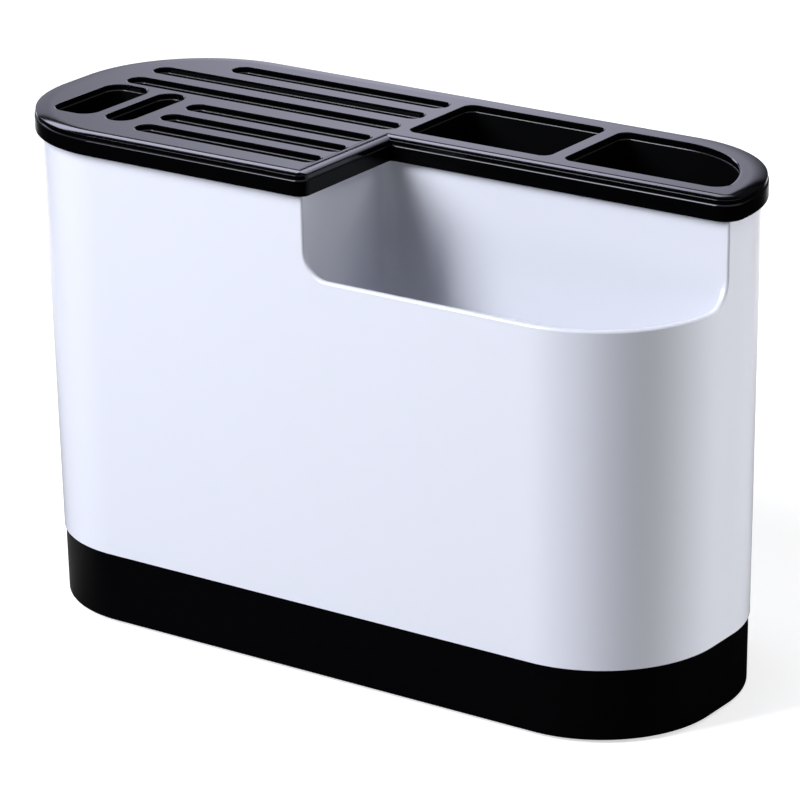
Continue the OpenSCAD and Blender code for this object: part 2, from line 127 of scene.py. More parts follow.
def moulded_plastic(name, colour, roughness, spread, sheen, grain, grain_scale, uneven=0.0):
    """Moulded plastic: slightly uneven gloss and a fine skin texture over the plain colour.

    spread is how far the roughness drifts to either side, sheen the strength of the reflection,
    grain the strength of the skin's texture, and uneven how much darker the colour gets.
    """
    material, tree, output = new_material(name)
    nodes, link = tree.nodes, tree.links.new
    shader = nodes.new("ShaderNodeBsdfPrincipled")
    shader.inputs["Base Color"].default_value = (*colour, 1.0)
    shader.inputs["IOR"].default_value = 1.5
    shader.inputs["Specular IOR Level"].default_value = sheen
    coords = nodes.new("ShaderNodeTexCoord")

    # Gloss that drifts a little from place to place
    patches = nodes.new("ShaderNodeTexNoise")
    patches.inputs["Scale"].default_value = 28.0
    patches.inputs["Detail"].default_value = 3.0
    link(coords.outputs["Object"], patches.inputs["Vector"])
    gloss = nodes.new("ShaderNodeMapRange")
    gloss.inputs["To Min"].default_value = roughness - spread
    gloss.inputs["To Max"].default_value = roughness + spread
    link(patches.outputs["Fac"], gloss.inputs["Value"])
    link(gloss.outputs["Result"], shader.inputs["Roughness"])

    # Colour that is never perfectly even
    if uneven:
        tone = nodes.new("ShaderNodeMapRange")
        tone.inputs["To Min"].default_value = 1.0 - uneven
        tone.inputs["To Max"].default_value = 1.0
        cloud = nodes.new("ShaderNodeTexNoise")
        cloud.inputs["Scale"].default_value = 9.0
        link(coords.outputs["Object"], cloud.inputs["Vector"])
        link(cloud.outputs["Fac"], tone.inputs["Value"])
        tint = nodes.new("ShaderNodeMix")
        tint.data_type = "RGBA"
        tint.blend_type = "MULTIPLY"
        tint.inputs["Factor"].default_value = 1.0
        # Sockets 6 and 7 and output 2 are the ones for colours
        tint.inputs[6].default_value = (*colour, 1.0)
        link(tone.outputs["Result"], tint.inputs[7])
        link(tint.outputs[2], shader.inputs["Base Color"])

    # Fine texture of the mould's skin
    skin = nodes.new("ShaderNodeTexNoise")
    skin.inputs["Scale"].default_value = grain_scale
    skin.inputs["Detail"].default_value = 2.0
    link(coords.outputs["Object"], skin.inputs["Vector"])
    bump = nodes.new("ShaderNodeBump")
    bump.inputs["Strength"].default_value = grain
    bump.inputs["Distance"].default_value = 0.00005
    link(skin.outputs["Fac"], bump.inputs["Height"])
    link(bump.outputs["Normal"], shader.inputs["Normal"])
    link(shader.outputs["BSDF"], output.inputs["Surface"])
    return material


def rubber(name):
    """Dark matt rubber with a dusty fine grain."""
    material, tree, output = new_material(name)
    nodes, link = tree.nodes, tree.links.new
    shader = nodes.new("ShaderNodeBsdfPrincipled")
    shader.inputs["IOR"].default_value = 1.45
    coords = nodes.new("ShaderNodeTexCoord")
    dust = nodes.new("ShaderNodeTexNoise")
    dust.inputs["Scale"].default_value = 400.0
    dust.inputs["Detail"].default_value = 4.0
    link(coords.outputs["Object"], dust.inputs["Vector"])
    tone = nodes.new("ShaderNodeValToRGB")
    tone.color_ramp.elements[0].position, tone.color_ramp.elements[1].position = 0.35, 0.75
    tone.color_ramp.elements[0].color = (0.020, 0.020, 0.021, 1.0)
    tone.color_ramp.elements[1].color = (0.045, 0.045, 0.046, 1.0)
    link(dust.outputs["Fac"], tone.inputs["Fac"])
    link(tone.outputs["Color"], shader.inputs["Base Color"])
    shader.inputs["Roughness"].default_value = 0.75
    bump = nodes.new("ShaderNodeBump")
    bump.inputs["Strength"].default_value = 0.4
    bump.inputs["Distance"].default_value = 0.0001
    link(dust.outputs["Fac"], bump.inputs["Height"])
    link(bump.outputs["Normal"], shader.inputs["Normal"])
    link(shader.outputs["BSDF"], output.inputs["Surface"])
    return material


deep_black = (0.0010, 0.0010, 0.0013)
lid_black = moulded_plastic("lid_gloss_black", deep_black, roughness=0.06, spread=0.015,
                            sheen=0.25, grain=0.06, grain_scale=900.0)
# The lid's sides: a satin copy of the same black with a fifth of the top's reflection. The weaker
# reflection is painted shade that keeps the upright faces dark
skirt_satin_dimmed = moulded_plastic("lid_skirt_satin_dimmed_black", deep_black, roughness=0.22, spread=0.03,
                              sheen=0.05, grain=0.10, grain_scale=900.0)
inner_black = moulded_plastic("inner_satin_black", (0.0012, 0.0012, 0.0014), roughness=0.28,
                              spread=0.03, sheen=0.35, grain=0.15, grain_scale=900.0)
tray_black = moulded_plastic("tray_gloss_black", (0.0015, 0.0015, 0.0018), roughness=0.14,
                             spread=0.02, sheen=0.3, grain=0.08, grain_scale=900.0)
body_white = moulded_plastic("body_gloss_white", (0.80, 0.815, 0.865), roughness=0.16,
                             spread=0.015, sheen=0.5, grain=0.06, grain_scale=700.0,
                             uneven=0.015)
drain_white = moulded_plastic("drain_satin_white", (0.76, 0.79, 0.88), roughness=0.38,
                              spread=0.03, sheen=0.5, grain=0.12, grain_scale=700.0,
                              uneven=0.02)
foot_rubber = rubber("foot_rubber")


# ---------------------------------------------------------------- outlines in plan

def arc_steps(radius):
    """Number of straight steps in a quarter turn of this radius."""
    return 1 if radius == 0 else int(4 + 6 * math.sqrt(radius))


def outline(corners, inset=0.0, steps=0):
    """Points and outward normals of a square-cornered path with the material on its left.

    Each corner is (x, y, radius). inset moves the path into the material, and every inset of one
    path has the same number of points. A corner of radius 0 keeps a sharp mitre. steps sets the
    number of steps in each round corner, where paths of different radii have to match.
    """
    points, normals = [], []
    count = len(corners)
    for i, (x, y, radius) in enumerate(corners):
        before = Vector(corners[i - 1][:2])
        here = Vector((x, y))
        after = Vector(corners[(i + 1) % count][:2])
        d0, d1 = (here - before).normalized(), (after - here).normalized()
        l0, l1 = Vector((-d0.y, d0.x)), Vector((-d1.y, d1.x))
        left_turn = d0.cross(d1) > 0
        sign = 1.0 if left_turn else -1.0
        r = max(radius - sign * inset, 0.0) if radius else 0.0
        corner = here + inset * (l0 + l1)
        centre = corner + sign * r * (l0 + l1)
        turns = steps if steps and radius else arc_steps(radius)
        for k in range(turns + 1):
            turn = math.radians(90.0 * k / turns)
            normal = -l0 * math.cos(turn) - l1 * math.sin(turn)
            points.append(centre + sign * r * normal)
            normals.append(normal)
    return points, normals


def block(low, high, radii):
    """Corners of a rectangle, anticlockwise from the front left one."""
    return [(low[0], low[1], radii[0]), (high[0], low[1], radii[1]),
            (high[0], high[1], radii[2]), (low[0], high[1], radii[3])]


def hole(low, high, radii):
    """Corners of a rectangular opening, clockwise, so that the material is round it."""
    return block(low, high, radii)[::-1]


def widened(opening, extra):
    """An opening's front left corner, rear right corner and radii, made wider all round."""
    (x0, y0), (x1, y1), radii = opening
    return (x0 - extra, y0 - extra), (x1 + extra, y1 + extra), [r + extra for r in radii]


def without_repeats(ring):
    """Points of a closed ring without those that fall on the one before."""
    return [p for i, p in enumerate(ring) if (p - ring[i - 1]).length > SAME_PLACE]


# ---------------------------------------------------------------- surfaces with exact normals

class Skin:
    """Collects faces that share their vertices, with the true normal at every face corner."""

    PER_MM = 20000  # points that are closer than a millimetre over this share a vertex

    def __init__(self):
        self.places, self.vertices, self.faces, self.normals = {}, [], [], []

    def vertex(self, point):
        """Index of the vertex at a point, the same one for every face that meets there."""
        key = tuple(round(c * self.PER_MM) for c in point)
        if key not in self.places:
            self.places[key] = len(self.vertices)
            self.vertices.append(Vector(point) * MM)
        return self.places[key]

    def face(self, points, normals):
        """Adds a face with a normal at each corner, less the corners that fall together."""
        ids, kept = [], []
        for point, normal in zip(points, normals):
            index = self.vertex(point)
            if index not in ids:
                ids.append(index)
                kept.append(normal)
        if len(ids) > 2:
            self.faces.append(ids)
            self.normals.extend(kept)

    def band(self, ring_a, normals_a, ring_b, normals_b, closed=True):
        """Quads between two rings. Material lies left of the rings, and ring b follows ring a."""
        count = len(ring_a)
        for i in range(count if closed else count - 1):
            j = (i + 1) % count
            self.face([ring_a[i], ring_b[i], ring_b[j], ring_a[j]],
                      [normals_a[i], normals_b[i], normals_b[j], normals_a[j]])

    def sweep(self, corners, sections):
        """Sweeps a profile along an outline. A section is a list of (inset, z, out, up)."""
        for section in sections:
            rings = []
            for inset, z, out, up in section:
                points, flat = outline(corners, inset)
                rings.append(([Vector((p.x, p.y, z)) for p in points],
                              [Vector((n.x * out, n.y * out, up)).normalized() for n in flat]))
            for (ring_a, normals_a), (ring_b, normals_b) in zip(rings, rings[1:]):
                self.band(ring_a, normals_a, ring_b, normals_b)

    def cap(self, rings, z, up):
        """Flat face at one level between an outer ring and the rings of its openings."""
        flat = [without_repeats([Vector((p[0], p[1], z)) for p in ring]) for ring in rings]
        every = [p for ring in flat for p in ring]
        normal = Vector((0.0, 0.0, 1.0 if up else -1.0))
        for triangle in tessellate_polygon(flat):
            a, b, c = (every[i] for i in triangle)
            if ((b - a).cross(c - a)).z * normal.z < 0:
                b, c = c, b
            self.face([a, b, c], [normal] * 3)

    def piece(self, name, material):
        """Mesh object of all the faces, in one material and with the corners' normals."""
        mesh = bpy.data.meshes.new(name)
        mesh.from_pydata(self.vertices, [], self.faces)
        mesh.materials.append(material)
        mesh.shade_smooth()
        mesh.normals_split_custom_set([n.normalized() for n in self.normals])
        obj = bpy.data.objects.new(name, mesh)
        bpy.context.scene.collection.objects.link(obj)
        return obj


def round_edge(inset, z, radius, start, end, steps=4):
    """Section of a rounded edge: an arc about (inset, z) from one angle to another.

    Angles are in degrees: 0 faces outwards, 90 upwards.
    """
    section = []
    for k in range(steps + 1):
        angle = math.radians(start + (end - start) * k / steps)
        section.append((inset - radius * math.cos(angle), z + radius * math.sin(angle),
                        math.cos(angle), math.sin(angle)))
    return section


def straight(a, b):
    """Section of a flat or sloped face from a to b, each (inset, z), material on its left."""
    along = Vector((-(b[0] - a[0]), b[1] - a[1])).normalized()
    out, up = -along.y, along.x
    return [(a[0], a[1], out, up), (b[0], b[1], out, up)]


def draft(z):
    """Set-back of the sloped outer wall at this height."""
    return (TOTAL_H - z) * DRAFT


# ---------------------------------------------------------------- openings of the lid

SLOT_HALF = 4.0
SLOT_RIGHT = NOTCH_X - 5.9
FRONT_LEFT = -80.4
# Left end and middle line of the six knife slots, from the rear one to the front one
SLOTS = [(-95.9, 39.3), (-119.8, 24.1), (-119.8, 8.9),
         (FRONT_LEFT, -8.1), (FRONT_LEFT, -22.6), (FRONT_LEFT, -37.1)]
# Each opening is its front left corner, its rear right corner and its four corners' radii,
# anticlockwise from the front left one. After the slots come the scissors and the narrow opening
KNIFE_HOLES = [((x, y - SLOT_HALF), (SLOT_RIGHT, y + SLOT_HALF), (SLOT_HALF,) * 4)
               for x, y in SLOTS]
KNIFE_HOLES += [((-121.0, -35.7), (-103.2, 1.6), (6.0,) * 4),
                ((-98.2, -35.7), (-87.1, 1.6), (5.5,) * 4)]
CELL_HOLES = [((1.6, 7.3), (58.6, 45.6), (3.5,) * 4),
              ((64.8, 7.3), (127.1, 45.6), (3.5, 6.0, 38.1, 3.5))]


def lid_corners(front_r=4.0, end_r=7.0):
    """The lid's outline: a rounded block with the pocket's quarter left out."""
    x, y = LID_HALF
    return [(-x, -y, LID_R), (NOTCH_X, -y, front_r), (NOTCH_X, NOTCH_Y, 0.0),
            (x, NOTCH_Y, end_r), (x, y, LID_R), (-x, y, LID_R)]


def make_lid():
    """The cover: a crowned plate with its openings, a skirt round it and four locating pegs."""
    skin = Skin()
    corners = lid_corners()

    # The crown falls gently, ends at a crisp edge and stands on a rounded shoulder
    band, drop = 6.0, 2.0
    flat_r, crisp_r, tilt = 31.3, 0.2, 80.0
    shoulder_r, shoulder_start = 0.8, 60.0
    crown = round_edge(band, TOTAL_H - flat_r, flat_r, 90, tilt, 6)
    turn = math.radians(tilt)
    crisp_in = band - (flat_r - crisp_r) * math.cos(turn)
    crisp_z = TOTAL_H - flat_r + (flat_r - crisp_r) * math.sin(turn)
    crown += round_edge(crisp_in, crisp_z, crisp_r, tilt, 0, 3)[1:]
    crown_in = crisp_in - crisp_r
    turn = math.radians(shoulder_start)
    shoulder_in = crown_in + shoulder_r * math.cos(turn)
    shoulder_z = TOTAL_H - drop - shoulder_r * math.sin(turn)

    # The skirt hangs round the body's rim, and the plate rests on it with a step
    side_in, low_r, skirt_in, plate_in = shoulder_in - shoulder_r, 0.4, 2.0, 5.1
    skin.sweep(corners, [
        crown,
        straight((crown_in, crisp_z), (crown_in, TOTAL_H - drop)),
        round_edge(shoulder_in, shoulder_z, shoulder_r, shoulder_start, 0, 6),
        straight((side_in, shoulder_z), (side_in, LID_LOW + low_r)),
        round_edge(side_in + low_r, LID_LOW + low_r, low_r, 0, -90, 3),
        straight((side_in + low_r, LID_LOW), (skirt_in, LID_LOW)),
        straight((skirt_in, LID_LOW), (skirt_in, SHELL_TOP)),
        straight((skirt_in, SHELL_TOP), (plate_in, SHELL_TOP)),
        straight((plate_in, SHELL_TOP), (plate_in, PLATE_Z)),
    ])

    # An opening's rim is rounded down to rim degrees and goes straight down from there
    lip, rim = 1.4, 60.0
    width, fall = lip * math.cos(math.radians(rim)), lip * (1 - math.sin(math.radians(rim)))
    top_rings, low_rings = [outline(corners, band)[0]], [outline(corners, plate_in)[0]]
    for opening in KNIFE_HOLES + CELL_HOLES:
        path = hole(*opening)
        skin.sweep(path, [round_edge(width, TOTAL_H - lip, lip, 90, rim, 4),
                          straight((0.0, TOTAL_H - fall), (0.0, PLATE_Z))])
        top_rings.append(outline(path, width)[0])
        low_rings.append(outline(path)[0])

    # The pegs hang between two rear and two front slots, near the ends of the slots
    peg_r, peg_long, peg_edge, peg_in = 1.5, 3.1, 0.4, 10.0
    end = PLATE_Z - peg_long
    for x in (FRONT_LEFT + peg_in, SLOT_RIGHT - peg_in):
        for y in ((SLOTS[0][1] + SLOTS[1][1]) / 2, (SLOTS[4][1] + SLOTS[5][1]) / 2):
            peg = block((x - peg_r, y - peg_r), (x + peg_r, y + peg_r), (peg_r,) * 4)
            skin.sweep(peg, [straight((0.0, PLATE_Z), (0.0, end + peg_edge)),
                             round_edge(peg_edge, end + peg_edge, peg_edge, 0, -90, 3)])
            skin.cap([outline(peg, peg_edge)[0]], end, False)
            low_rings.append(outline(peg)[0])
    skin.cap(top_rings, TOTAL_H, True)
    skin.cap(low_rings, PLATE_Z, False)

    # Upright faces below the shoulder get the satin copy of the black. Its reflection is turned far
    # down as painted shade, so the sides stay dark
    upright, above = 0.3, 0.1
    lid = skin.piece("lid_cover", lid_black)
    lid.data.materials.append(skirt_satin_dimmed)
    for face in lid.data.polygons:
        if abs(face.normal.z) < upright and face.center.z < (shoulder_z + above) * MM:
            face.material_index = 1
    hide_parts("lid")
    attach(lid, "cover")


def make_knife_guide():
    """Plate under the lid's left half, with a sleeve below each of its knife openings."""
    skin = Skin()
    set_in, plate_right, plate_t, sleeve_h = 3.2, -3.1, 1.6, 30.0
    bore_in, wall_out, rim = 0.4, 0.8, 0.5
    half_x, half_y, radius = (v - set_in for v in (*BODY_HALF, CORNER_R))
    plate = [(-half_x, -half_y, radius), (plate_right, -half_y, 0.0),
             (plate_right, half_y, 0.0), (-half_x, half_y, radius)]
    top, under, low = PLATE_Z, PLATE_Z - plate_t, PLATE_Z - sleeve_h
    skin.sweep(plate, [straight((0.0, top), (0.0, under))])
    top_rings, under_rings = [outline(plate)[0]], [outline(plate)[0]]
    for opening in KNIFE_HOLES:
        inner = hole(*widened(opening, -bore_in))
        outer = block(*widened(opening, wall_out))
        skin.sweep(inner, [round_edge(rim, top - rim, rim, 90, 0, 5),
                           straight((0.0, top - rim), (0.0, low))])
        skin.sweep(outer, [straight((0.0, under), (0.0, low))])
        top_rings.append(outline(inner, rim)[0])
        under_rings.append(outline(outer)[0])
        skin.cap([outline(outer)[0], outline(inner)[0]], low, False)
    skin.cap(top_rings, top, True)
    skin.cap(under_rings, under, False)
    guide = skin.piece("knife_guide_sleeves", inner_black)
    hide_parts("knife_guide")
    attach(guide, "cover")


make_lid()
make_knife_guide()


# ---------------------------------------------------------------- body with its pocket

EDGE = 1.0
RIM_STEPS = 5
CUTOUT_STEPS = 12
FILLET_STEPS = 12
OUTER_STEPS = 40
UP, DOWN = Vector((0.0, 0.0, 1.0)), Vector((0.0, 0.0, -1.0))


def station(u):
    """Point on the body's outline and its normal, u millimetres along it.

    The outline starts at the middle of the front and runs anticlockwise.
    """
    flat_x, flat_y = BODY_HALF[0] - CORNER_R, BODY_HALF[1] - CORNER_R
    quarter = CORNER_R * math.pi / 2
    sides = [((0, -BODY_HALF[1]), -90, flat_x), ((BODY_HALF[0], -flat_y), 0, 2 * flat_y),
             ((flat_x, BODY_HALF[1]), 90, 2 * flat_x), ((-BODY_HALF[0], flat_y), 180, 2 * flat_y),
             ((-flat_x, -BODY_HALF[1]), 270, flat_x)]
    centres = [(flat_x, -flat_y), (flat_x, flat_y), (-flat_x, flat_y), (-flat_x, -flat_y)]
    for k, ((x, y), angle, length) in enumerate(sides):
        turn = math.radians(angle)
        normal = Vector((math.cos(turn), math.sin(turn)))
        if u <= length or k == len(centres):
            return Vector((x, y)) + u * Vector((-normal.y, normal.x)), normal
        u -= length
        if u <= quarter:
            turn += u / CORNER_R
            normal = Vector((math.cos(turn), math.sin(turn)))
            return Vector(centres[k]) + CORNER_R * normal, normal
        u -= quarter


def wall_point(u, z, depth):
    """Point of the body's wall at this depth behind its outer face."""
    place, normal = station(u)
    place = place - normal * (draft(z) + depth)
    return Vector((place.x, place.y, z))


def wall_normal(u, side=1.0):
    """Normal of the wall's outer face, or of its inner face for side -1."""
    slope = math.atan(DRAFT)
    normal = station(u)[1]
    return Vector((normal.x * math.cos(slope), normal.y * math.cos(slope),
                   -math.sin(slope))) * side


# The outline's length, and where the pocket's cut-out starts and ends along it
PERIMETER = 4 * (BODY_HALF[0] + BODY_HALF[1] - 2 * CORNER_R) + 2 * math.pi * CORNER_R
CUT_LEFT = POCKET_X
CUT_RIGHT = (BODY_HALF[0] - CORNER_R + math.pi / 2 * CORNER_R
             + POCKET_Y + BODY_HALF[1] - CORNER_R)


def wall_columns(start, end):
    """Places along the outline between two others, close together round the corners."""
    flat_x, flat_y = BODY_HALF[0] - CORNER_R, BODY_HALF[1] - CORNER_R
    quarter = CORNER_R * math.pi / 2
    least = 0.3
    places, u = [], 0.0
    for length in (flat_x, 2 * flat_y, 2 * flat_x, 2 * flat_y):
        u += length
        places += [u + quarter * k / OUTER_STEPS for k in range(OUTER_STEPS + 1)]
        u += quarter
    return [p for p in places if start + least < p < end - least]


def cut_edge():
    """The edge of the pocket's cut-out as (u, z, normal along the wall, normal upwards, share).

    share is 1 where the rim is free on both sides and 0 where it runs into the pocket's faces.
    """
    fade = 8
    edge = []
    for k in range(CUTOUT_STEPS + 1):
        turn = math.radians(90.0 * k / CUTOUT_STEPS)
        edge.append((CUT_LEFT + CUTOUT_R * (1 - math.cos(turn)),
                     RIM_Z + CUTOUT_R * (1 - math.sin(turn)),
                     math.cos(turn), math.sin(turn), min(1.0, k / fade)))
    edge += [(u, RIM_Z, 0.0, 1.0, 1.0)
             for u in wall_columns(CUT_LEFT + CUTOUT_R, CUT_RIGHT - CUTOUT_R)]
    mirrored = [(CUT_RIGHT - (u - CUT_LEFT), z, -along, up, share)
                for u, z, along, up, share in edge[:CUTOUT_STEPS + 1]]
    return edge + mirrored[::-1]


def inner_depth(z):
    """Depth of the inner wall face behind the outer one: the foot's, the slope's or the wall's."""
    if z <= SLOPE_LOW:
        return FOOT_WALL
    if z >= SLOPE_TOP:
        return WALL
    return WALL + (FOOT_WALL - WALL) * (SLOPE_TOP - z) / (SLOPE_TOP - SLOPE_LOW)


LEVELS = [LEDGE_Z, SLOPE_LOW, SLOPE_TOP]


def outer_wall(skin, low_rim, rest):
    """Outer face under the cut-out, and round the rest of the body."""
    for (u0, z0), (u1, z1) in zip(low_rim, low_rim[1:]):
        skin.face([wall_point(u0, TRAY_TOP, 0), wall_point(u1, TRAY_TOP, 0),
                   wall_point(u1, z1, 0), wall_point(u0, z0, 0)],
                  [wall_normal(u0), wall_normal(u1), wall_normal(u1), wall_normal(u0)])
    shoulder_z = RIM_Z + CUTOUT_R
    for i, (u0, u1) in enumerate(zip(rest, rest[1:])):
        corners = [(u0, TRAY_TOP), (u1, TRAY_TOP), (u1, SHELL_TOP), (u0, SHELL_TOP)]
        if i == len(rest) - 2:
            corners.insert(2, (u1, shoulder_z))
        if i == 0:
            corners.append((u0, shoulder_z))
        skin.face([wall_point(u % PERIMETER, z, 0) for u, z in corners],
                  [wall_normal(u % PERIMETER) for u, z in corners])


def rim_row(u, z, along, rise, share, whole=True):
    """Places and normals across the cut-out's rim, from the outer face to the inner one.

    Where the rim isn't whole, the row ends inside the wall's thickness.
    """
    flat = station(u)[1]
    cut = Vector((-flat.y * along, flat.x * along, rise))
    row = []
    for k in range(RIM_STEPS + 1):
        turn = math.radians(90.0 * k / RIM_STEPS)
        out = EDGE * (1 - math.sin(turn))
        row.append((wall_point(u - along * out, z - rise * out, EDGE * (1 - math.cos(turn))),
                    (math.cos(turn) * wall_normal(u) + math.sin(turn) * cut).normalized()))
    if not whole:
        return row
    radius = EDGE * share
    for k in range(RIM_STEPS + 1):
        turn = math.radians(90.0 * k / RIM_STEPS)
        out = radius * (1 - math.cos(turn))
        row.append((wall_point(u - along * out, z - rise * out,
                               WALL - radius * (1 - math.sin(turn))),
                    (math.cos(turn) * cut + math.sin(turn) * wall_normal(u, -1.0)).normalized()))
    return row


def between_rows(skin, a, b):
    """Faces between two rows of places and normals, as far as the shorter one goes."""
    for (a0, na0), (a1, na1), (b0, nb0), (b1, nb1) in zip(a, a[1:], b, b[1:]):
        skin.face([a0, b0, b1, a1], [na0, nb0, nb1, na1])


def pocket_sides(skin, edge, left_side, right_side):
    """Inner faces of the pocket: along the wall, the left and the rear one and their round.

    left_side and right_side are the points that the rim's upright ends add to the left and the
    rear face. The ring that all of them make on the ledge is returned.
    """
    inner = [(u - along * EDGE * share, z - rise * EDGE * share)
             for u, z, along, rise, share in edge]
    for (u0, z0), (u1, z1) in zip(inner, inner[1:]):
        for low, top0, top1 in zip(LEVELS, LEVELS[1:] + [z0], LEVELS[1:] + [z1]):
            corners = [(u0, low), (u0, top0), (u1, top1), (u1, low)]
            skin.face([wall_point(u, z, inner_depth(z)) for u, z in corners],
                      [wall_normal(u, -1.0) for u, z in corners])

    fillet = []
    for k in range(FILLET_STEPS + 1):
        turn = math.radians(90.0 * k / FILLET_STEPS)
        fillet.append((POCKET_X + POCKET_FILLET * (1 - math.cos(turn)),
                       POCKET_Y - POCKET_FILLET * (1 - math.sin(turn)),
                       Vector((math.cos(turn), -math.sin(turn), 0.0))))
    heights = LEVELS + [RIM_Z + CUTOUT_R]
    front_end = [wall_point(CUT_LEFT, z, inner_depth(z)) for z in heights] + left_side
    side_end = [wall_point(CUT_RIGHT, z, inner_depth(z)) for z in heights] + right_side
    corner = Vector((POCKET_X, POCKET_Y, 0.0))
    x, y = fillet[0][:2]
    left_face = [Vector((x, y, LEDGE_Z)), Vector((x, y, FILLET_TOP)),
                 corner + UP * FILLET_TOP, corner + UP * SHELL_TOP] + front_end[::-1]
    skin.face(left_face, [Vector((1, 0, 0))] * len(left_face))
    x, y = fillet[-1][:2]
    rear_face = [corner + UP * SHELL_TOP, corner + UP * FILLET_TOP,
                 Vector((x, y, FILLET_TOP)), Vector((x, y, LEDGE_Z))] + side_end
    skin.face(rear_face, [Vector((0, -1, 0))] * len(rear_face))
    for (x0, y0, n0), (x1, y1, n1) in zip(fillet, fillet[1:]):
        skin.face([Vector((x0, y0, LEDGE_Z)), Vector((x1, y1, LEDGE_Z)),
                   Vector((x1, y1, FILLET_TOP)), Vector((x0, y0, FILLET_TOP))], [n0, n1, n1, n0])
    skin.face([corner + UP * FILLET_TOP] + [Vector((x, y, FILLET_TOP)) for x, y, n in fillet],
              [UP] * (len(fillet) + 1))
    return ([Vector((x, y, LEDGE_Z)) for x, y, n in fillet]
            + [wall_point(u, LEDGE_Z, FOOT_WALL) for u, z in inner[::-1]])


def bay_sides(skin):
    """Inner faces of the knife bay. Its rings at the top and on the ledge are returned."""
    rings = []
    for z in [SHELL_TOP] + LEVELS[::-1]:
        x, y, r = (v - draft(z) - inner_depth(z) for v in (*BODY_HALF, CORNER_R))
        points, flat = outline([(WALL_X, -y, 0), (-x, -y, r), (-x, y, r), (x, y, r),
                                (x, WALL_Y, 0), (WALL_X, WALL_Y, 0)], steps=OUTER_STEPS)
        rings.append(([Vector((p.x, p.y, z)) for p in points],
                      [Vector((n.x, n.y, 0)) for n in flat]))
    for a, b in zip(rings, rings[1:]):
        skin.band(*a, *b)
    return rings[0][0], rings[-1][0]


def body_foot(skin, around, bay_ring, pocket_ring):
    """Shoulder on the tray's rim, set-back foot, underside and the ledges of both spaces."""
    profile = [((FOOT_SETBACK, SKIRT_Z), (FOOT_SETBACK, TRAY_TOP), False),
               ((FOOT_SETBACK, TRAY_TOP), (0.0, TRAY_TOP), True)]
    for (low_in, low), (top_in, top), shoulder in profile:
        for u0, u1 in zip(around, around[1:] + around[:1]):
            n0, n1 = (DOWN if shoulder else wall_normal(u % PERIMETER) for u in (u0, u1))
            skin.face([wall_point(u0 % PERIMETER, low, low_in),
                       wall_point(u1 % PERIMETER, low, low_in),
                       wall_point(u1 % PERIMETER, top, top_in),
                       wall_point(u0 % PERIMETER, top, top_in)], [n0, n1, n1, n0])
    under = [wall_point(u % PERIMETER, SKIRT_Z, FOOT_SETBACK) for u in around]
    x, y, r = (v - (draft(SKIRT_Z) + FOOT_WALL + LEDGE) for v in (*BODY_HALF, CORNER_R))
    bay_hole = [(WALL_X - LEDGE, -y, 0), (-x, -y, r), (-x, y, r), (x, y, r),
                (x, WALL_Y + LEDGE, 0), (WALL_X - LEDGE, WALL_Y + LEDGE, 0)]
    pocket_hole = [(POCKET_X + LEDGE, POCKET_Y - LEDGE, 0), (x, POCKET_Y - LEDGE, 0), (x, -y, r),
                   (POCKET_X + LEDGE, -y, 0)]
    holes = []
    for path in (bay_hole, pocket_hole):
        skin.sweep(path, [straight((0, LEDGE_Z), (0, SKIRT_Z))])
        holes.append(outline(path)[0])
    skin.cap([under] + holes, SKIRT_Z, False)
    skin.cap([bay_ring, holes[0]], LEDGE_Z, True)
    skin.cap([pocket_ring, holes[1]], LEDGE_Z, True)


def make_body():
    """The white body: drafted walls, the pocket with its cut-out, the knife bay and the foot."""
    skin = Skin()
    edge = cut_edge()
    low_rim = [(u - along * EDGE, z - rise * EDGE) for u, z, along, rise, _ in edge]
    start, end = low_rim[-1][0], PERIMETER + low_rim[0][0]
    rest = [start] + wall_columns(start, end) + [end]
    outer_wall(skin, low_rim, rest)

    # Rounded rim of the cut-out, and above it the rounded ends of the walls
    rows = [rim_row(*place) for place in edge]
    for a, b in zip(rows, rows[1:]):
        between_rows(skin, a, b)
    top_left = rim_row(CUT_LEFT, SHELL_TOP, 1.0, 0.0, 0.0, False)
    top_right = rim_row(CUT_RIGHT, SHELL_TOP, -1.0, 0.0, 0.0, False)
    between_rows(skin, top_left, rows[0])
    between_rows(skin, rows[-1], top_right)

    pocket_ring = pocket_sides(skin, edge, [rows[0][RIM_STEPS][0], top_left[-1][0]],
                               [rows[-1][RIM_STEPS][0], top_right[-1][0]])
    bay_top, bay_ring = bay_sides(skin)
    top = [wall_point(u % PERIMETER, SHELL_TOP, 0) for u in rest]
    top += [p for p, n in top_left[1:]] + [Vector((POCKET_X, POCKET_Y, SHELL_TOP))]
    top += [p for p, n in top_right[:0:-1]]
    skin.cap([top, bay_top], SHELL_TOP, True)
    body_foot(skin, [u for u, z in low_rim] + rest[1:-1], bay_ring, pocket_ring)

    body = skin.piece("body_walls", body_white)
    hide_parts("body_shell")
    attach(body, "body")


# ---------------------------------------------------------------- liner and drip tray

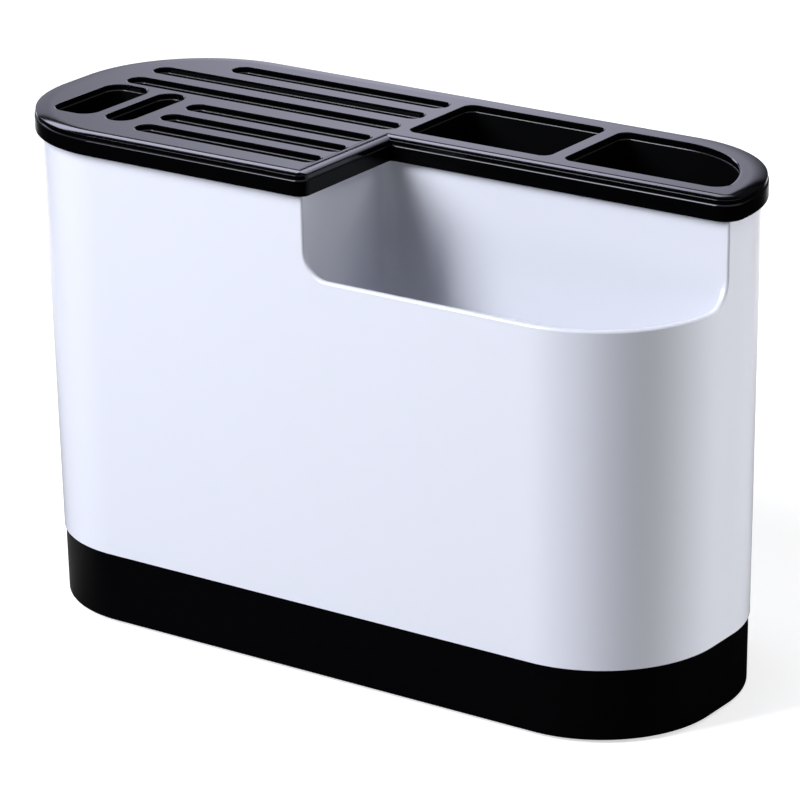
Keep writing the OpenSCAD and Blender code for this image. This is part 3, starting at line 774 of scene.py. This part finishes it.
def make_liner():
    """Two cups for cutlery under one flange, with drain holes in their floors."""
    skin = Skin()
    slope = math.tan(math.radians(0.75))
    flange_out, flange_t, wall, floor_t = 3.6, 2.0, 1.6, 2.0
    top, under, floor, low = LINER_TOP, LINER_TOP - flange_t, DRAIN_Z + floor_t, DRAIN_Z
    lip, edge, foot, foot_steps = 0.6, 0.4, 2.0, 4
    drain_r, pitch, side_gap, round_gap = 2.5, 9.0, 4.5, 5.0

    def lean(z):
        """Inset of a cup's inner face at this height: it leans inwards towards the floor."""
        return -(top - z) * slope

    (front_left, _, _), (_, rear_right, radii) = CELL_HOLES
    flange = block(*widened((front_left, rear_right, radii), flange_out))
    skin.sweep(flange, [round_edge(edge, top - edge, edge, 90, 0),
                        straight((0, top - edge), (0, under + edge)),
                        round_edge(edge, under + edge, edge, 0, -90)])
    top_rings, under_rings = [outline(flange, edge)[0]], [outline(flange, edge)[0]]
    foot_in = -lean(low) + edge
    turn_in = []
    for k in range(foot_steps + 1):
        turn = math.radians(90.0 * k / foot_steps)
        turn_in.append((lean(floor) - foot * (1 - math.cos(turn)),
                        floor + foot * (1 - math.sin(turn)), math.cos(turn), math.sin(turn)))
    for opening in CELL_HOLES:
        inner, outer = hole(*opening), block(*widened(opening, wall))
        skin.sweep(inner, [round_edge(lip, top - lip, lip, 90, 0),
                           straight((0, top - lip), (lean(floor), floor + foot)), turn_in])
        skin.sweep(outer, [straight((0, under), (-lean(low), low + edge)),
                           round_edge(foot_in, low + edge, edge, 0, -90)])
        top_rings.append(outline(inner, lip)[0])
        under_rings.append(outline(outer)[0])

        # A grid of drain holes, without those that would cut into the large round corner
        (x0, y0), (x1, y1), radii = opening
        middle = ((x0 + x1) / 2, (y0 + y1) / 2)
        reach = [int(((b - a) / 2 - side_gap + lean(low)) / pitch)
                 for a, b in ((x0, x1), (y0, y1))]
        holes = []
        for i in range(-reach[0], reach[0] + 1):
            for j in range(-reach[1], reach[1] + 1):
                x, y = middle[0] + pitch * i, middle[1] + pitch * j
                away = Vector((x, y)) - Vector((x1 - radii[2], y1 - radii[2]))
                if min(away) >= 0 and away.length >= radii[2] + lean(low) - round_gap:
                    continue
                path = hole((x - drain_r, y - drain_r), (x + drain_r, y + drain_r),
                            (drain_r,) * 4)
                skin.sweep(path, [straight((0, floor), (0, low))])
                holes.append(outline(path)[0])
        skin.cap([outline(inner, lean(floor) - foot)[0]] + holes, floor, True)
        skin.cap([outline(outer, foot_in)[0]] + holes, low, False)
    skin.cap(top_rings, top, True)
    skin.cap(under_rings, under, False)
    liner = skin.piece("liner_cups", inner_black)
    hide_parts("chopstick_liner")
    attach(liner, "liner")


def make_tray():
    """The black base: a basin with a rounded foot and four recesses for the rubber feet."""
    skin = Skin()
    path = block((-BODY_HALF[0], -BODY_HALF[1]), BODY_HALF, (CORNER_R,) * 4)
    set_in, wall, floor_t, round_low, edge, turn_r, turn_steps = 0.5, 2.0, 2.4, 1.5, 0.3, 1.0, 4
    base, top, floor = TRAY_Z, TRAY_TOP, TRAY_Z + floor_t
    face_low = draft(base + round_low) + set_in
    face_top = draft(top) + set_in
    wall_foot = draft(floor) + set_in + wall
    turn_in = []
    for k in range(turn_steps + 1):
        turn = math.radians(90.0 * k / turn_steps)
        turn_in.append((wall_foot + turn_r * (1 - math.sin(turn)),
                        floor + turn_r * (1 - math.cos(turn)), -math.sin(turn), math.cos(turn)))
    skin.sweep(path, [
        turn_in,
        straight((wall_foot, floor + turn_r), (face_top + wall, top - edge)),
        round_edge(face_top + wall - edge, top - edge, edge, 180, 90, 3),
        straight((face_top + wall - edge, top), (face_top + edge, top)),
        round_edge(face_top + edge, top - edge, edge, 90, 0, 3),
        straight((face_top, top - edge), (face_low, base + round_low)),
        round_edge(face_low + round_low, base + round_low, round_low, 0, -90, 6),
    ])
    foot_x, foot_y, recess_r, recess_z = 97.0, 32.5, 7.1, 2.0
    holes = []
    for x in (-foot_x, foot_x):
        for y in (-foot_y, foot_y):
            recess = hole((x - recess_r, y - recess_r), (x + recess_r, y + recess_r),
                          (recess_r,) * 4)
            skin.sweep(recess, [straight((0, recess_z), (0, base))])
            holes.append(outline(recess)[0])
            skin.cap([outline(recess)[0]], recess_z, False)
    skin.cap([outline(path, face_low + round_low)[0]] + holes, base, False)
    skin.cap([outline(path, wall_foot + turn_r)[0]], floor, True)
    tray = skin.piece("tray_basin", tray_black)
    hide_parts("drip_tray")
    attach(tray, "tray")


# ---------------------------------------------------------------- slotted plates and ribs

def new_tree(name, inputs):
    """Geometry tree with one geometry in, one out and these named inputs for its sizes."""
    tree = bpy.data.node_groups.new(name, "GeometryNodeTree")
    face = tree.interface
    face.new_socket("Geometry", in_out="INPUT", socket_type="NodeSocketGeometry")
    for label, kind in inputs:
        face.new_socket(label, in_out="INPUT", socket_type="NodeSocket" + kind)
    face.new_socket("Geometry", in_out="OUTPUT", socket_type="NodeSocketGeometry")
    return tree, tree.nodes.new("NodeGroupInput"), tree.nodes.new("NodeGroupOutput")


def add(tree, kind, sockets=(), **settings):
    """Node of the tree with its settings and its sockets, each linked or given a plain value."""
    node = tree.nodes.new(kind)
    for name, value in settings.items():
        setattr(node, name, value)
    for place, value in dict(sockets).items():
        if isinstance(value, bpy.types.NodeSocket):
            tree.links.new(value, node.inputs[place])
        else:
            node.inputs[place].default_value = value
    return node


def thickened(tree, flat, thickness):
    """Closed plate over a flat face: the face turned down, its lifted copy and the sides."""
    lift = add(tree, "GeometryNodeExtrudeMesh",
               {"Mesh": flat, "Offset Scale": thickness, "Individual": False})
    under = add(tree, "GeometryNodeFlipFaces", {"Mesh": flat})
    both = tree.nodes.new("GeometryNodeJoinGeometry")
    tree.links.new(lift.outputs["Mesh"], both.inputs[0])
    tree.links.new(under.outputs["Mesh"], both.inputs[0])
    weld = 0.00001
    return add(tree, "GeometryNodeMergeByDistance",
               {"Geometry": both.outputs[0], "Distance": weld}).outputs[0]


def slotted_plate_tree():
    """Plate with a grid of round-ended slots that stop at a margin inside its outline."""
    tree, given, result = new_tree("slotted_plate", (
        ("Margin outline", "Object"), ("Thickness", "Float"), ("Slot length", "Float"),
        ("Slot width", "Float"), ("Bar", "Float"), ("Columns", "Int"), ("Rows", "Int"),
        ("Level", "Float"), ("Material", "Material")))
    size = given.outputs
    plate = thickened(tree, size["Geometry"], size["Thickness"])

    # The slots' cutters stand on a grid and reach through the plate. Their ends are round, with a
    # radius that stays just under half the width, so that no two corners fall together
    end_share, crisp_angle = 0.4999, math.radians(30.0)
    reach = reckon(tree, "MULTIPLY", size["Thickness"], 3.0)
    pitch_x = reckon(tree, "ADD", size["Slot length"], size["Bar"])
    pitch_y = reckon(tree, "ADD", size["Slot width"], size["Bar"])
    grid = add(tree, "GeometryNodeMeshGrid", {
        "Size X": reckon(tree, "MULTIPLY", pitch_x, reckon(tree, "SUBTRACT", size["Columns"], 1)),
        "Size Y": reckon(tree, "MULTIPLY", pitch_y, reckon(tree, "SUBTRACT", size["Rows"], 1)),
        "Vertices X": size["Columns"], "Vertices Y": size["Rows"]})
    slot = add(tree, "GeometryNodeCurvePrimitiveQuadrilateral",
               {"Width": size["Slot length"], "Height": size["Slot width"]})
    rounded = add(tree, "GeometryNodeFilletCurve",
                  {"Curve": slot.outputs[0], "Count": 8, "Limit Radius": True,
                   "Radius": reckon(tree, "MULTIPLY", size["Slot width"], end_share)},
                  mode="POLY")
    face = add(tree, "GeometryNodeFillCurve", {"Curve": rounded.outputs[0]}, mode="NGONS")
    cutter = thickened(tree, face.outputs[0], reach)
    low = add(tree, "ShaderNodeCombineXYZ",
              {"Z": reckon(tree, "SUBTRACT", size["Level"], size["Thickness"])})
    cutters = add(tree, "GeometryNodeInstanceOnPoints",
                  {"Points": grid.outputs[0], "Instance": cutter})
    placed = add(tree, "GeometryNodeTransform",
                 {"Geometry": cutters.outputs[0], "Translation": low.outputs[0]})
    loose = add(tree, "GeometryNodeRealizeInstances", {"Geometry": placed.outputs[0]})

    # They end at the margin
    margin = add(tree, "GeometryNodeObjectInfo", {"Object": size["Margin outline"]})
    block = thickened(tree, margin.outputs["Geometry"],
                      reckon(tree, "MULTIPLY", reach, 2.0))
    kept = add(tree, "GeometryNodeMeshBoolean", {0: loose.outputs[0], 1: block},
               operation="INTERSECT", solver="EXACT")
    tree.links.new(loose.outputs[0], kept.inputs[1])
    cut = add(tree, "GeometryNodeMeshBoolean", {0: plate, 1: kept.outputs[0]},
              operation="DIFFERENCE", solver="EXACT")

    # Smooth round the slots' ends, crisp at every edge
    smooth = add(tree, "GeometryNodeSetShadeSmooth", {"Geometry": cut.outputs[0],
                                                      "Shade Smooth": True}, domain="FACE")
    angle = tree.nodes.new("GeometryNodeInputMeshEdgeAngle")
    crisp = add(tree, "GeometryNodeSetShadeSmooth",
                {"Geometry": smooth.outputs[0], "Shade Smooth": False,
                 "Selection": reckon(tree, "GREATER_THAN", angle.outputs[0], crisp_angle)},
                domain="EDGE")
    whole = add(tree, "GeometryNodeRealizeInstances", {"Geometry": crisp.outputs[0]})
    finish = add(tree, "GeometryNodeSetMaterial",
                 {"Geometry": whole.outputs[0], "Material": size["Material"]})
    tree.links.new(finish.outputs[0], result.inputs[0])
    return tree


def rib_tree():
    """A straight rib of rectangular section along every edge of the mesh."""
    tree, given, result = new_tree("ribs", (
        ("Width", "Float"), ("Height", "Float"), ("Material", "Material")))
    size = given.outputs
    lines = add(tree, "GeometryNodeMeshToCurve", {"Mesh": size["Geometry"]})
    profile = add(tree, "GeometryNodeCurvePrimitiveQuadrilateral",
                  {"Width": size["Width"], "Height": size["Height"]})
    ribs = add(tree, "GeometryNodeCurveToMesh",
               {"Curve": lines.outputs[0], "Profile Curve": profile.outputs[0],
                "Fill Caps": True})
    flat = add(tree, "GeometryNodeSetShadeSmooth", {"Geometry": ribs.outputs[0],
                                                    "Shade Smooth": False}, domain="FACE")
    whole = add(tree, "GeometryNodeRealizeInstances", {"Geometry": flat.outputs[0]})
    finish = add(tree, "GeometryNodeSetMaterial",
                 {"Geometry": whole.outputs[0], "Material": size["Material"]})
    tree.links.new(finish.outputs[0], result.inputs[0])
    return tree


def grown(name, mesh, tree, values):
    """Plain mesh object that the tree makes of a mesh, with its inputs set by name."""
    seed = bpy.data.objects.new(name + "_seed", mesh)
    bpy.context.scene.collection.objects.link(seed)
    modifier = seed.modifiers.new("grow", "NODES")
    modifier.node_group = tree
    for socket in tree.interface.items_tree:
        if socket.in_out == "INPUT" and socket.name in values:
            modifier[socket.identifier] = values[socket.name]
    bpy.context.view_layer.update()
    evaluated = seed.evaluated_get(bpy.context.evaluated_depsgraph_get())
    made = bpy.data.meshes.new_from_object(evaluated)
    made.name = name
    seed.modifiers.remove(modifier)
    bpy.data.objects.remove(seed)
    bpy.data.meshes.remove(mesh)
    piece = bpy.data.objects.new(name, made)
    bpy.context.scene.collection.objects.link(piece)
    return piece


def flat_face(name, path, level):
    """Mesh of one flat face, facing up, along an outline."""
    points = [Vector((p.x, p.y, level)) * MM for p in without_repeats(outline(path)[0])]
    mesh = bpy.data.meshes.new(name)
    mesh.from_pydata(points, [], [list(range(len(points)))])
    return mesh


def make_drain_plates():
    """Slotted floors that lie loose on the ledges of the knife bay and the pocket."""
    tree = slotted_plate_tree()
    gap, margin, columns, rows = 0.4, 5.0, 11, 16
    thickness, slot_long, slot_wide, bar = DRAIN_Z - LEDGE_Z, 22.0, 3.0, 4.0
    inset = draft(LEDGE_Z) + FOOT_WALL + gap

    def bay(extra):
        """Outline of the knife bay's plate, extra millimetres inside its edge."""
        x, y, r = (v - inset - extra for v in (*BODY_HALF, CORNER_R))
        left, rear = WALL_X - gap - extra, WALL_Y + gap + extra
        return [(left, -y, 0), (left, rear, 0), (x, rear, 0), (x, y, r), (-x, y, r),
                (-x, -y, r)]

    def pocket(extra, fillet):
        """Outline of the pocket's plate, extra millimetres inside its edge."""
        x, y, r = (v - inset - extra for v in (*BODY_HALF, CORNER_R))
        left, rear = POCKET_X + gap + extra, POCKET_Y - gap - extra
        return [(left, -y, 0), (x, -y, r), (x, rear, 0), (left, rear, fillet)]

    for name, node, path, inner in (
            ("bay_drain_plate", "knife_bay_drain", bay(0.0), bay(margin)),
            ("pocket_drain_plate", "pocket_drain", pocket(0.0, POCKET_FILLET),
             pocket(margin, 0.0))):
        rim = bpy.data.objects.new(name + "_margin",
                                   flat_face(name + "_margin", inner, LEDGE_Z - 2 * thickness))
        bpy.context.scene.collection.objects.link(rim)
        plate = grown(name, flat_face(name, path, LEDGE_Z), tree, {
            "Margin outline": rim, "Thickness": thickness * MM, "Slot length": slot_long * MM,
            "Slot width": slot_wide * MM, "Bar": bar * MM, "Columns": columns, "Rows": rows,
            "Level": LEDGE_Z * MM, "Material": drain_white})
        bpy.data.objects.remove(rim)
        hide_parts(node)
        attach(plate, "body")


def make_guide_ribs():
    """Ribs under the guide's plate that tie its sleeves together."""
    wide, drop, deep, end_in, sleeve_half = 1.2, 1.4, 8.6, 20.0, 4.6
    level = PLATE_Z - drop - deep / 2
    points = []
    for x in (FRONT_LEFT + end_in, SLOT_RIGHT - end_in):
        for (_, rear), (_, front) in zip(SLOTS, SLOTS[1:]):
            points += [Vector((x, front + sleeve_half, level)),
                       Vector((x, rear - sleeve_half, level))]
    mesh = bpy.data.meshes.new("guide_ribs")
    mesh.from_pydata([p * MM for p in points],
                     [(i, i + 1) for i in range(0, len(points), 2)], [])
    ribs = grown("guide_ribs", mesh, rib_tree(), {
        "Width": wide * MM, "Height": deep * MM, "Material": inner_black})
    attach(ribs, "cover")


make_body()
make_liner()
make_tray()
make_drain_plates()
make_guide_ribs()
for node in ("foot_front_left", "foot_front_right", "foot_rear_left", "foot_rear_right"):
    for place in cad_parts[node].material_slots:
        place.material = foot_rubber


# ---------------------------------------------------------------- floor, world and lamps

def ramp(tree, value, start, end, low=0.0, high=1.0):
    """Smooth change from low to high while the value goes from start to end."""
    node = tree.nodes.new("ShaderNodeMapRange")
    node.interpolation_type = "SMOOTHSTEP"
    tree.links.new(value, node.inputs["Value"])
    for name, number in (("From Min", start), ("From Max", end), ("To Min", low), ("To Max", high)):
        node.inputs[name].default_value = number
    return node.outputs[0]


def make_floor():
    """Floor that is white to the camera, grey to stray light, and partly dark in reflections."""
    mesh = bpy.data.meshes.new("floor")
    size, low = 6.0, -0.0001
    mesh.from_pydata([(-size, -size, low), (size, -size, low), (size, size, low),
                      (-size, size, low)],
                     [], [(0, 1, 2, 3)])
    floor = bpy.data.objects.new("floor", mesh)
    bpy.context.scene.collection.objects.link(floor)
    material, tree, output = new_material("studio_floor")
    nodes, link = tree.nodes, tree.links.new
    both = nodes.new("ShaderNodeAddShader")
    path = nodes.new("ShaderNodeLightPath")
    back = nodes.new("ShaderNodeEmission")
    side = nodes.new("ShaderNodeMixShader")
    seen = nodes.new("ShaderNodeMixShader")
    mirrored = nodes.new("ShaderNodeMixShader")
    paint = nodes.new("ShaderNodeBsdfDiffuse")
    paint.inputs["Color"].default_value = (0.80, 0.80, 0.80, 1.0)
    bounce = nodes.new("ShaderNodeBsdfDiffuse")
    bounce.inputs["Color"].default_value = (0.50, 0.50, 0.50, 1.0)
    dark = nodes.new("ShaderNodeBsdfDiffuse")
    dark.inputs["Color"].default_value = (0.01, 0.01, 0.01, 1.0)
    glow = nodes.new("ShaderNodeEmission")
    glow.inputs["Strength"].default_value = 0.62

    # Metres behind the holder's middle and to the side of it, as the camera sees it
    coords = nodes.new("ShaderNodeTexCoord")
    axes = nodes.new("ShaderNodeSeparateXYZ")
    link(coords.outputs["Object"], axes.inputs[0])
    along, across = 0.82, 0.57
    behind = reckon(tree, "MULTIPLY_ADD", axes.outputs["X"], -across,
                    reckon(tree, "MULTIPLY", axes.outputs["Y"], along))
    aside = reckon(tree, "MULTIPLY_ADD", axes.outputs["X"], along,
                   reckon(tree, "MULTIPLY", axes.outputs["Y"], across))
    aside = reckon(tree, "ABSOLUTE", aside)

    # In reflections the floor is dark in front of the holder and grows bright behind it. A ramp
    # is given as start and end, in metres, and the values there
    glare_depth, glare_width = (0.10, 0.60, 0.12, 1.3), (0.45, 0.25, 0.015, 1.0)
    dark_to_bright = (0.0, 0.06)
    glare = reckon(tree, "MULTIPLY", ramp(tree, behind, *glare_depth),
                   ramp(tree, aside, *glare_width))
    link(glare, back.inputs["Strength"])
    link(ramp(tree, behind, *dark_to_bright), side.inputs["Fac"])
    link(dark.outputs["BSDF"], side.inputs[1])
    link(back.outputs["Emission"], side.inputs[2])
    link(paint.outputs["BSDF"], both.inputs[0])
    link(glow.outputs["Emission"], both.inputs[1])
    link(path.outputs["Is Glossy Ray"], mirrored.inputs["Fac"])
    link(bounce.outputs["BSDF"], mirrored.inputs[1])
    link(side.outputs["Shader"], mirrored.inputs[2])
    link(path.outputs["Is Camera Ray"], seen.inputs["Fac"])
    link(mirrored.outputs["Shader"], seen.inputs[1])
    link(both.outputs["Shader"], seen.inputs[2])
    link(seen.outputs["Shader"], output.inputs["Surface"])
    mesh.materials.append(material)


def make_world():
    """White for the camera, a weak fill for the surfaces, and a dim studio in the reflections.

    The reflected studio has a bright low wall behind the holder and a brighter strip over it.
    """
    world = bpy.data.worlds.new("studio")
    world.use_nodes = True
    tree = world.node_tree
    tree.nodes.clear()
    nodes, link = tree.nodes, tree.links.new
    output = nodes.new("ShaderNodeOutputWorld")
    path = nodes.new("ShaderNodeLightPath")
    coords = nodes.new("ShaderNodeTexCoord")
    axes = nodes.new("ShaderNodeSeparateXYZ")
    link(coords.outputs["Generated"], axes.inputs[0])
    x, y, z = axes.outputs

    # How far a direction is to the left of the bright wall's heading, and how far ahead
    heading = math.radians(124.0)
    left = reckon(tree, "ADD", reckon(tree, "MULTIPLY", x, -math.sin(heading)),
                  reckon(tree, "MULTIPLY", y, math.cos(heading)))
    ahead = reckon(tree, "ADD", reckon(tree, "MULTIPLY", x, math.cos(heading)),
                   reckon(tree, "MULTIPLY", y, math.sin(heading)))

    # Each ramp is given as its start, its end and the strengths there. The wall grows from the
    # right, falls to the left, and ends below the strip
    wall_rise, wall_fall = (-0.19, 0.02, 0.05, 1.90), (0.0, 0.13, 0.0, 1.0)
    wall_height, wall_top = (-0.10, 0.30, 0.35, 1.0), (0.340, 0.306)
    strip_low, strip_top = (0.360, 0.375), (0.46, 0.445)
    strip_rise, ahead_only = (-0.12, 0.04, 0.03, 4.2), (0.1, 0.5)
    wall = reckon(tree, "SUBTRACT", ramp(tree, left, *wall_rise), ramp(tree, left, *wall_fall))
    wall = reckon(tree, "MULTIPLY", wall, ramp(tree, z, *wall_height))
    wall = reckon(tree, "MULTIPLY", wall, ramp(tree, z, *wall_top))
    strip = reckon(tree, "MULTIPLY", ramp(tree, z, *strip_low), ramp(tree, z, *strip_top))
    strip = reckon(tree, "MULTIPLY", strip, ramp(tree, left, *strip_rise))
    both = reckon(tree, "ADD", wall, strip)
    both = reckon(tree, "MULTIPLY", both, ramp(tree, ahead, *ahead_only))

    # A soft dome in every other direction, so that the black pieces read from all sides
    dome_aside, dome_height, least = (0.60, 0.20), (0.0, 0.9, 0.10, 1.3), 0.01
    dome = reckon(tree, "MULTIPLY", ramp(tree, ahead, *dome_aside), ramp(tree, z, *dome_height))
    glossy = nodes.new("ShaderNodeBackground")
    glossy.inputs["Color"].default_value = (0.80, 0.80, 1.0, 1.0)
    link(reckon(tree, "ADD", both, reckon(tree, "ADD", dome, least)), glossy.inputs["Strength"])
    fill = nodes.new("ShaderNodeBackground")
    fill.inputs["Color"].default_value = (1.0, 0.90, 0.80, 1.0)
    fill.inputs["Strength"].default_value = 0.05
    seen = nodes.new("ShaderNodeBackground")
    seen.inputs["Strength"].default_value = 1.0
    inner = nodes.new("ShaderNodeMixShader")
    outer = nodes.new("ShaderNodeMixShader")
    link(path.outputs["Is Glossy Ray"], inner.inputs["Fac"])
    link(fill.outputs["Background"], inner.inputs[1])
    link(glossy.outputs["Background"], inner.inputs[2])
    link(path.outputs["Is Camera Ray"], outer.inputs["Fac"])
    link(inner.outputs["Shader"], outer.inputs[1])
    link(seen.outputs["Background"], outer.inputs[2])
    link(outer.outputs["Shader"], output.inputs["Surface"])
    bpy.context.scene.world = world


def soft_lamp(name, azimuth, elevation, size, watts, colour, mirrored=False):
    """Rectangular softbox aimed at the holder. Azimuth is counted from +X towards +Y."""
    turn, rise = math.radians(azimuth), math.radians(elevation)
    middle, distance = Vector((0.0, 0.0, 0.1)), 2.2
    away = Vector((math.cos(turn) * math.cos(rise), math.sin(turn) * math.cos(rise),
                   math.sin(rise)))
    data = bpy.data.lights.new(name, "AREA")
    data.shape = "RECTANGLE"
    data.size, data.size_y = size
    data.energy = watts
    data.color = colour
    lamp = bpy.data.objects.new(name, data)
    lamp.location = middle + distance * away
    lamp.rotation_mode = "QUATERNION"
    lamp.rotation_quaternion = (-away).to_track_quat("-Z", "Y")
    lamp.visible_glossy = mirrored
    bpy.context.scene.collection.objects.link(lamp)


make_floor()
make_world()
cool, plain = (0.93, 0.955, 1.05), (0.96, 0.97, 1.0)
soft_lamp("key_softbox", -122.5, 38.0, size=(0.7, 1.5), watts=64.0, colour=cool, mirrored=True)
soft_lamp("low_rear_softbox", 40.0, 4.0, size=(0.9, 0.7), watts=42.0, colour=plain)
soft_lamp("high_rear_softbox", 45.0, 50.0, size=(0.9, 0.9), watts=10.0, colour=plain)
